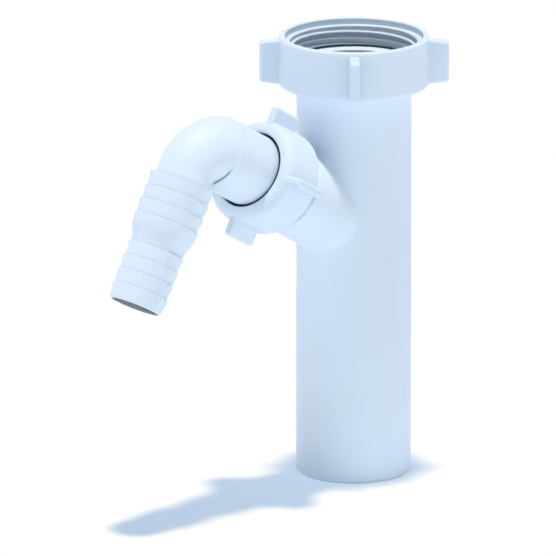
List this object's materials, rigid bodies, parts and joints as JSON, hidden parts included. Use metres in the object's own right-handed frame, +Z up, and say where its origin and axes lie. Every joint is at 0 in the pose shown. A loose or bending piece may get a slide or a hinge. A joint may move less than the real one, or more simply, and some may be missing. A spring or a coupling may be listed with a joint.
{
  "type": "washing machine waste tee",
  "caption": "Plastic waste tee with a winged inlet nut, a plain tail and a rising branch that carries a swivelling elbow with a stepped hose barb.",
  "frame": {"origin": "centre of the tail's plain lower end", "axes": "+Z up the tail, the branch leans towards -X, and the XZ plane is the part's plane of symmetry apart from the threads' hand"},
  "size_m": [0.1505, 0.056, 0.1675],
  "materials": {
    "body_plastic": "satin white moulded polypropylene",
    "nut_plastic": "satin white moulded polypropylene",
    "elbow_plastic": "satin white moulded polypropylene",
    "washer_rubber": "smooth white rubber"
  },
  "bodies": {
    "tee": {"tee_body": "body_plastic", "inlet_washer": "washer_rubber"},
    "inlet_nut": {"inlet_nut": "nut_plastic"},
    "union": {"union_washer": "washer_rubber"},
    "elbow": {"elbow": "elbow_plastic"},
    "union_nut": {"union_nut": "nut_plastic"}
  },
  "joints": [
    {"name": "inlet_nut_spin", "type": "hinge", "parent": "tee", "child": "inlet_nut", "pos_m": [0, 0, 0.157], "axis": [0, 0, 1], "continuous": true},
    {"name": "union_slide", "type": "slide", "parent": "tee", "child": "union", "axis": [-0.866, 0, 0.5], "range_m": [0, 0.0081]},
    {"name": "elbow_swivel", "type": "hinge", "parent": "union", "child": "elbow", "pos_m": [-0.05196, 0, 0.1245], "axis": [-0.866, 0, 0.5], "continuous": true},
    {"name": "union_nut_turn", "type": "hinge", "parent": "union", "child": "union_nut", "pos_m": [-0.0485, 0, 0.1225], "axis": [-0.866, 0, 0.5], "range_deg": [0, 1260]}
  ],
  "couplings": [
    {"joint": "union_slide", "follows": "union_nut_turn", "m_per_rad": 0.00036749}
  ]
}
